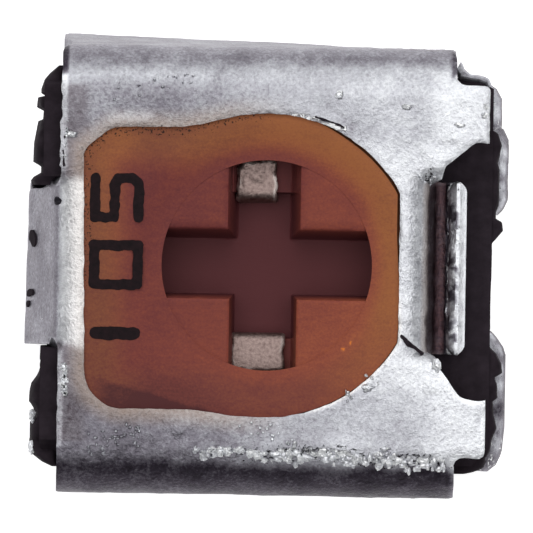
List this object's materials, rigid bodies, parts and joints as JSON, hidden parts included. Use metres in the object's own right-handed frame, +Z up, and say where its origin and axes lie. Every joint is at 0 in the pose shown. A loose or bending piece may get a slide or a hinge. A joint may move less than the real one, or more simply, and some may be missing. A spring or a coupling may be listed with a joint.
{
  "type": "trimmer potentiometer",
  "caption": "Square surface-mount trimmer potentiometer: folded tinned cover with a D-shaped window, amber housing and cross-slot rotor, black base and J-hook solder feet.",
  "frame": {"origin": "on the rotor's axis, in the plane of the board under the three solder feet; the middle of the bounding box's bottom", "axes": "+Z up from the board along the rotor's axis, +X towards the two end terminals, +Y across the part"},
  "size_m": [0.0044, 0.0043, 0.0022],
  "materials": {
    "cover": "tin-plated sheet, satin, mottled and pitted",
    "base": "black moulded epoxy, matt",
    "housing": "amber translucent moulded resin, satin",
    "substrate": "fired alumina, matt",
    "resistance_film": "fired cermet film, matt",
    "conductor_film": "fired silver-palladium film, satin",
    "terminals": "solder-coated strip, satin",
    "collector": "plated brass, bright",
    "rotor": "reddish brown translucent moulded resin, satin",
    "seal": "silicone rubber, satin",
    "wiper": "precious-metal alloy spring sheet, satin"
  },
  "bodies": {
    "body": {"cover": "cover", "base": "base", "housing": "housing", "substrate": "substrate", "resistance_track": "resistance_film", "end_conductor_1": "conductor_film", "end_conductor_3": "conductor_film", "end_terminal_1": "terminals", "end_terminal_3": "terminals", "collector_rivet": "collector", "collector_strap": "collector"},
    "rotor": {"rotor": "rotor", "rotor_seal": "seal", "wiper_spring": "wiper"}
  },
  "joints": [
    {"name": "rotor_turn", "type": "hinge", "parent": "body", "child": "rotor", "pos_m": [0, 0, 0.0018], "axis": [0, 0, 1], "range_deg": [-120, 120]}
  ]
}
